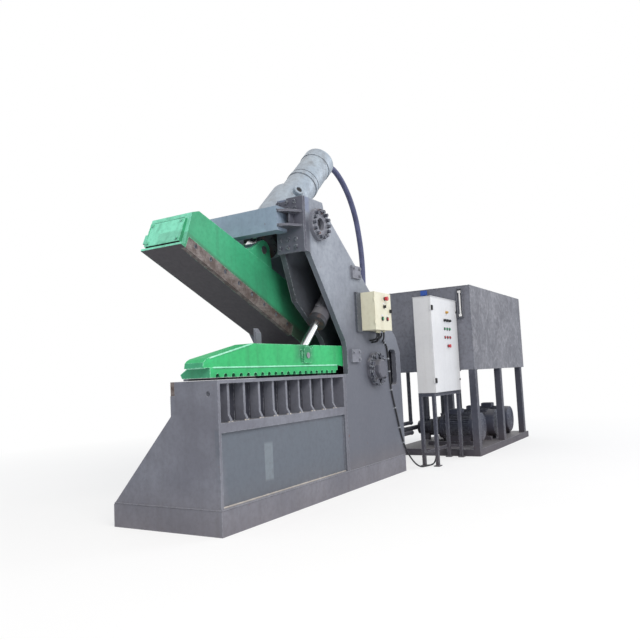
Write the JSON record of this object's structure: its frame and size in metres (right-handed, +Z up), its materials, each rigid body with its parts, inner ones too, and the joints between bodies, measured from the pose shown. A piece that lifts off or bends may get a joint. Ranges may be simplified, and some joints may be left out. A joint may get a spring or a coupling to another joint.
{
  "type": "alligator shear",
  "caption": "Hydraulic alligator shear with an open green jaw, a toothed hold-down arm, tall side frames, a main cylinder, an electrical cabinet, a control box and an oil power pack.",
  "frame": {"origin": "on the floor straight below the jaw's main pivot, in the shear plane between the two rows of blades", "axes": "+Z up, +X from the jaw's mouth to the power pack, -Y towards the operator's side with the ribs, the control box and the cabinet"},
  "size_m": [8.144, 1.893, 4.1799],
  "materials": {
    "frame_paint": "worn grey-blue machinery paint over plate, with scuffs and rust at edges",
    "beam_paint": "lighter grey-blue machinery paint",
    "upright_paint": "grey-blue machinery paint, rubbed along the plate edges",
    "cylinder_paint": "pale blue-grey paint with oil stains",
    "jaw_paint": "green machinery paint, faded to mint on the front plate, rust and grime beneath",
    "arm_paint": "bright green machinery paint, worn at the toothed bar",
    "blade_steel": "ground tool steel with light rust",
    "bolt_steel": "painted hexagon bolts",
    "pin_steel": "machined pin steel",
    "rod_chrome": "hard chromed and polished rod",
    "gland_iron": "machined cast iron gland with oil and rust",
    "tank_paint": "dark grey paint, mottled and streaked",
    "motor_paint": "dark blue-grey motor enamel, dusty",
    "pump_paint": "dark blue pump enamel with oil film",
    "bell_iron": "rough cast iron",
    "pipe_paint": "dark painted steel pipe",
    "manifold_paint": "dark painted steel block",
    "cabinet_paint": "light grey powder coat, fine texture",
    "stand_paint": "grey-blue painted square tube",
    "pendant_paint": "cream powder coat with grime",
    "bracket_paint": "dark painted plate",
    "red_plastic": "moulded red plastic",
    "green_plastic": "moulded green plastic",
    "black_plastic": "moulded black plastic",
    "gauge_metal": "anodised gauge body with a clear tube",
    "switch_plastic": "blue moulded housing",
    "hose_rubber": "ribbed black-blue hose rubber with a dust film",
    "cable_rubber": "black rubber cable sheath"
  },
  "bodies": {
    "frame": {"base_frame": "frame_paint", "near_upright": "upright_paint", "far_upright": "upright_paint", "cross_beam": "beam_paint", "beam_flange": "frame_paint", "frame_bolts": "bolt_steel", "pivot_caps": "frame_paint", "trunnion_caps": "frame_paint", "main_pin": "pin_steel", "keeper_pins": "pin_steel", "keeper_plates": "frame_paint", "lower_blades": "blade_steel", "lower_blade_bolts": "bolt_steel", "pendant_bracket": "bracket_paint", "pendant_box": "pendant_paint", "pendant_cable": "cable_rubber", "rear_manifold": "manifold_paint", "oil_pipes": "pipe_paint", "oil_tank": "tank_paint", "tank_stand": "stand_paint", "sight_gauge": "gauge_metal", "level_switch": "switch_plastic", "motors": "motor_paint", "bell_housings": "bell_iron", "pumps": "pump_paint", "cabinet_body": "cabinet_paint", "cabinet_stand": "stand_paint", "main_hose": "hose_rubber"},
    "jaw": {"upper_jaw": "jaw_paint", "upper_blades": "blade_steel", "upper_blade_bolts": "bolt_steel", "rod_pin": "pin_steel"},
    "main_cylinder": {"main_cylinder": "cylinder_paint", "main_gland": "gland_iron"},
    "main_rod": {"main_rod": "rod_chrome"},
    "hold_arm": {"hold_arm": "arm_paint", "grip_bar": "arm_paint", "arm_rod_pin": "pin_steel"},
    "hold_cylinder": {"hold_cylinder": "frame_paint", "hold_gland": "gland_iron"},
    "hold_rod": {"hold_rod": "rod_chrome"},
    "pendant_door": {"pendant_door": "pendant_paint"},
    "cabinet_door": {"cabinet_door": "cabinet_paint"},
    "pendant_latch": {"pendant_latch": "black_plastic"},
    "pendant_estop": {"pendant_estop": "red_plastic"},
    "pendant_selector": {"pendant_selector": "black_plastic"},
    "start_button": {"start_button": "green_plastic"},
    "stop_button": {"stop_button": "red_plastic"},
    "cabinet_lock_1": {"cabinet_lock_1": "black_plastic"},
    "cabinet_lock_2": {"cabinet_lock_2": "black_plastic"},
    "cabinet_estop": {"cabinet_estop": "red_plastic"},
    "cabinet_start_1": {"cabinet_start_1": "green_plastic"},
    "cabinet_start_2": {"cabinet_start_2": "green_plastic"},
    "cabinet_start_3": {"cabinet_start_3": "green_plastic"},
    "cabinet_stop_1": {"cabinet_stop_1": "red_plastic"},
    "cabinet_stop_2": {"cabinet_stop_2": "red_plastic"},
    "cabinet_stop_3": {"cabinet_stop_3": "red_plastic"},
    "pump_shaft_1": {"pump_shaft_1": "pin_steel"},
    "pump_shaft_2": {"pump_shaft_2": "pin_steel"},
    "pump_shaft_3": {"pump_shaft_3": "pin_steel"}
  },
  "joints": [
    {"name": "jaw_hinge", "type": "hinge", "parent": "frame", "child": "jaw", "pos_m": [0, 0.257, 1.326], "axis": [0, -1, 0], "range_deg": [0, 27]},
    {"name": "cylinder_trunnion", "type": "hinge", "parent": "frame", "child": "main_cylinder", "pos_m": [-1.185, 0.128, 2.89], "axis": [0, -1, 0], "range_deg": [0, 13]},
    {"name": "main_rod_slide", "type": "slide", "parent": "main_cylinder", "child": "main_rod", "axis": [-0.7302, 0, -0.6832], "range_m": [0, 0.905]},
    {"name": "arm_hinge", "type": "hinge", "parent": "frame", "child": "hold_arm", "pos_m": [-0.492, -0.36, 1.485], "axis": [0, 1, 0], "range_deg": [0, 26]},
    {"name": "hold_cylinder_hinge", "type": "hinge", "parent": "frame", "child": "hold_cylinder", "pos_m": [-0.378, -0.36, 2.462], "axis": [0, 1, 0], "range_deg": [0, 12.2]},
    {"name": "hold_rod_slide", "type": "slide", "parent": "hold_cylinder", "child": "hold_rod", "axis": [0.7306, 0, 0.6828], "range_m": [0, 0.324]},
    {"name": "pendant_door_hinge", "type": "hinge", "parent": "frame", "child": "pendant_door", "pos_m": [-0.32, -0.732, 2.002], "axis": [0, 0, -1], "range_deg": [0, 110]},
    {"name": "pendant_latch_turn", "type": "hinge", "parent": "pendant_door", "child": "pendant_latch", "pos_m": [0.087, -0.736, 2.011], "axis": [0, -1, 0], "range_deg": [0, 90]},
    {"name": "pendant_estop_push", "type": "slide", "parent": "pendant_door", "child": "pendant_estop", "axis": [0, 1, 0], "range_m": [0, 0.005]},
    {"name": "pendant_selector_turn", "type": "hinge", "parent": "pendant_door", "child": "pendant_selector", "pos_m": [-0.067, -0.745, 2.059], "axis": [0, -1, 0], "range_deg": [-45, 45]},
    {"name": "start_push", "type": "slide", "parent": "pendant_door", "child": "start_button", "axis": [0, 1, 0], "range_m": [0, 0.004], "stiffness_N_per_m": 400},
    {"name": "stop_push", "type": "slide", "parent": "pendant_door", "child": "stop_button", "axis": [0, 1, 0], "range_m": [0, 0.004], "stiffness_N_per_m": 400},
    {"name": "cabinet_door_hinge", "type": "hinge", "parent": "frame", "child": "cabinet_door", "pos_m": [1.206, -0.824, 1.628], "axis": [0, 0, -1], "range_deg": [0, 120]},
    {"name": "cabinet_lock_1_turn", "type": "hinge", "parent": "cabinet_door", "child": "cabinet_lock_1", "pos_m": [2.185, -0.832, 1.129], "axis": [0, -1, 0], "range_deg": [0, 90]},
    {"name": "cabinet_lock_2_turn", "type": "hinge", "parent": "cabinet_door", "child": "cabinet_lock_2", "pos_m": [2.185, -0.832, 2.113], "axis": [0, -1, 0], "range_deg": [0, 90]},
    {"name": "cabinet_estop_push", "type": "slide", "parent": "cabinet_door", "child": "cabinet_estop", "axis": [0, 1, 0], "range_m": [0, 0.005]},
    {"name": "cabinet_start_1_push", "type": "slide", "parent": "cabinet_door", "child": "cabinet_start_1", "axis": [0, 1, 0], "range_m": [0, 0.004], "stiffness_N_per_m": 400},
    {"name": "cabinet_start_2_push", "type": "slide", "parent": "cabinet_door", "child": "cabinet_start_2", "axis": [0, 1, 0], "range_m": [0, 0.004], "stiffness_N_per_m": 400},
    {"name": "cabinet_start_3_push", "type": "slide", "parent": "cabinet_door", "child": "cabinet_start_3", "axis": [0, 1, 0], "range_m": [0, 0.004], "stiffness_N_per_m": 400},
    {"name": "cabinet_stop_1_push", "type": "slide", "parent": "cabinet_door", "child": "cabinet_stop_1", "axis": [0, 1, 0], "range_m": [0, 0.004], "stiffness_N_per_m": 400},
    {"name": "cabinet_stop_2_push", "type": "slide", "parent": "cabinet_door", "child": "cabinet_stop_2", "axis": [0, 1, 0], "range_m": [0, 0.004], "stiffness_N_per_m": 400},
    {"name": "cabinet_stop_3_push", "type": "slide", "parent": "cabinet_door", "child": "cabinet_stop_3", "axis": [0, 1, 0], "range_m": [0, 0.004], "stiffness_N_per_m": 400},
    {"name": "pump_shaft_1_spin", "type": "hinge", "parent": "frame", "child": "pump_shaft_1", "pos_m": [2.916, -0.17, 0.37], "axis": [0, 1, 0], "continuous": true},
    {"name": "pump_shaft_2_spin", "type": "hinge", "parent": "frame", "child": "pump_shaft_2", "pos_m": [3.736, -0.17, 0.37], "axis": [0, 1, 0], "continuous": true},
    {"name": "pump_shaft_3_spin", "type": "hinge", "parent": "frame", "child": "pump_shaft_3", "pos_m": [4.556, -0.17, 0.37], "axis": [0, 1, 0], "continuous": true}
  ],
  "couplings": [
    {"joint": "cylinder_trunnion", "follows": "jaw_hinge", "ratio": 0.47252},
    {"joint": "main_rod_slide", "follows": "jaw_hinge", "m_per_rad": 1.9141},
    {"joint": "hold_cylinder_hinge", "follows": "arm_hinge", "ratio": 0.46454},
    {"joint": "hold_rod_slide", "follows": "arm_hinge", "m_per_rad": 0.71053}
  ]
}
